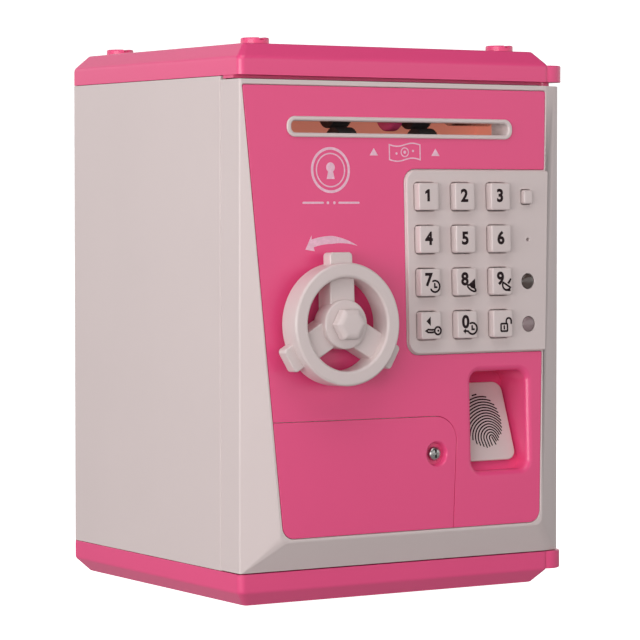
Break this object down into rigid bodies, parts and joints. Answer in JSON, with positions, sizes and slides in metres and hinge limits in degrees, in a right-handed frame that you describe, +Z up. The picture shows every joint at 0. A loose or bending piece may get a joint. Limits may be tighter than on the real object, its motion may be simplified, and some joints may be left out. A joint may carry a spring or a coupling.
{
  "type": "toy safe coin bank",
  "caption": "Box-shaped toy safe coin bank with a hinged front door carrying a keypad, a handwheel lock, a note slot with feed rollers and a fingerprint button.",
  "frame": {"origin": "on the underside of the base near its middle, where it rests", "axes": "+X to the right seen from the front, +Y to the back, +Z up"},
  "size_m": [0.1348, 0.139, 0.1902],
  "materials": {
    "pink_plastic": "glossy moulded",
    "white_plastic": "satin moulded",
    "steel": "plain",
    "black_rubber": "matte",
    "tan_plastic": "matte",
    "circuit_board": "lacquered",
    "led_red": "clear tinted",
    "led_green": "clear tinted"
  },
  "bodies": {
    "case": {"base_tray": "pink_plastic", "body_shell": "white_plastic", "top_cover": "pink_plastic", "strike_plate": "steel", "case_screw_1": "steel", "case_screw_2": "steel", "case_screw_3": "steel", "case_screw_4": "steel"},
    "door": {"door_shell": "white_plastic", "front_panel": "pink_plastic", "note_slot_bezel": "white_plastic", "battery_cover": "pink_plastic", "battery_cover_screw": "steel", "battery_box": "white_plastic", "battery_contact_left": "steel", "battery_contact_right": "steel", "door_back_cover": "white_plastic", "door_screw_1": "steel", "door_screw_2": "steel", "note_guide": "tan_plastic", "gear_motor": "steel", "key_mat": "black_rubber", "main_board": "circuit_board", "led_red": "led_red", "led_green": "led_green", "speaker": "black_rubber", "solenoid_body": "steel"},
    "wheel": {"handwheel": "white_plastic", "handwheel_cap": "white_plastic", "wheel_shaft": "steel", "lock_cam": "steel"},
    "bolt": {"lock_bolt": "steel"},
    "plunger": {"solenoid_plunger": "steel"},
    "mode_cap": {"mode_button": "white_plastic"},
    "pad": {"fingerprint_pad": "white_plastic"},
    "drive_roll": {"drive_shaft": "steel", "drive_roller_left": "black_rubber", "drive_roller_right": "black_rubber", "feed_disc": "pink_plastic"},
    "idler_roll": {"idler_shaft": "steel", "idler_roller_left": "black_rubber", "idler_roller_right": "black_rubber"},
    "key_1_cap": {"key_1": "white_plastic"},
    "key_2_cap": {"key_2": "white_plastic"},
    "key_3_cap": {"key_3": "white_plastic"},
    "key_4_cap": {"key_4": "white_plastic"},
    "key_5_cap": {"key_5": "white_plastic"},
    "key_6_cap": {"key_6": "white_plastic"},
    "key_7_cap": {"key_7": "white_plastic"},
    "key_8_cap": {"key_8": "white_plastic"},
    "key_9_cap": {"key_9": "white_plastic"},
    "key_back_cap": {"key_back": "white_plastic"},
    "key_0_cap": {"key_0": "white_plastic"},
    "key_unlock_cap": {"key_unlock": "white_plastic"}
  },
  "joints": [
    {"name": "door_swing", "type": "hinge", "parent": "case", "child": "door", "pos_m": [0.06505, -0.0533, 0.0936], "axis": [0, 0, 1], "range_deg": [0, 100]},
    {"name": "wheel_turn", "type": "hinge", "parent": "door", "child": "wheel", "pos_m": [-0.03045, -0.06247, 0.0939], "axis": [0, 0.9993, -0.0366], "range_deg": [0, 90]},
    {"name": "bolt_slide", "type": "slide", "parent": "door", "child": "bolt", "axis": [-1, 0, 0], "range_m": [0, 0.0063]},
    {"name": "plunger_slide", "type": "slide", "parent": "door", "child": "plunger", "axis": [0, 0.0366, 0.9993], "range_m": [0, 0.003], "stiffness_N_per_m": 60},
    {"name": "key_1_press", "type": "slide", "parent": "door", "child": "key_1_cap", "axis": [0, 0.9993, -0.0366], "range_m": [0, 0.0009], "stiffness_N_per_m": 200},
    {"name": "key_2_press", "type": "slide", "parent": "door", "child": "key_2_cap", "axis": [0, 0.9993, -0.0366], "range_m": [0, 0.0009], "stiffness_N_per_m": 200},
    {"name": "key_3_press", "type": "slide", "parent": "door", "child": "key_3_cap", "axis": [0, 0.9993, -0.0366], "range_m": [0, 0.0009], "stiffness_N_per_m": 200},
    {"name": "key_4_press", "type": "slide", "parent": "door", "child": "key_4_cap", "axis": [0, 0.9993, -0.0366], "range_m": [0, 0.0009], "stiffness_N_per_m": 200},
    {"name": "key_5_press", "type": "slide", "parent": "door", "child": "key_5_cap", "axis": [0, 0.9993, -0.0366], "range_m": [0, 0.0009], "stiffness_N_per_m": 200},
    {"name": "key_6_press", "type": "slide", "parent": "door", "child": "key_6_cap", "axis": [0, 0.9993, -0.0366], "range_m": [0, 0.0009], "stiffness_N_per_m": 200},
    {"name": "key_7_press", "type": "slide", "parent": "door", "child": "key_7_cap", "axis": [0, 0.9993, -0.0366], "range_m": [0, 0.0009], "stiffness_N_per_m": 200},
    {"name": "key_8_press", "type": "slide", "parent": "door", "child": "key_8_cap", "axis": [0, 0.9993, -0.0366], "range_m": [0, 0.0009], "stiffness_N_per_m": 200},
    {"name": "key_9_press", "type": "slide", "parent": "door", "child": "key_9_cap", "axis": [0, 0.9993, -0.0366], "range_m": [0, 0.0009], "stiffness_N_per_m": 200},
    {"name": "key_back_press", "type": "slide", "parent": "door", "child": "key_back_cap", "axis": [0, 0.9993, -0.0366], "range_m": [0, 0.0009], "stiffness_N_per_m": 200},
    {"name": "key_0_press", "type": "slide", "parent": "door", "child": "key_0_cap", "axis": [0, 0.9993, -0.0366], "range_m": [0, 0.0009], "stiffness_N_per_m": 200},
    {"name": "key_unlock_press", "type": "slide", "parent": "door", "child": "key_unlock_cap", "axis": [0, 0.9993, -0.0366], "range_m": [0, 0.0009], "stiffness_N_per_m": 200},
    {"name": "mode_button_press", "type": "slide", "parent": "door", "child": "mode_cap", "axis": [0, 0.9993, -0.0366], "range_m": [0, 0.0009], "stiffness_N_per_m": 200},
    {"name": "fingerprint_press", "type": "slide", "parent": "door", "child": "pad", "axis": [0, 0.9365, -0.3508], "range_m": [0, 0.0008], "stiffness_N_per_m": 200},
    {"name": "feed_spin", "type": "hinge", "parent": "door", "child": "drive_roll", "pos_m": [0, -0.0455, 0.1659], "axis": [1, 0, 0], "continuous": true},
    {"name": "idler_spin", "type": "hinge", "parent": "door", "child": "idler_roll", "pos_m": [0, -0.0495, 0.155], "axis": [1, 0, 0], "continuous": true}
  ],
  "couplings": [
    {"joint": "bolt_slide", "follows": "wheel_turn", "m_per_rad": 0.004},
    {"joint": "idler_spin", "follows": "feed_spin", "ratio": -1}
  ]
}
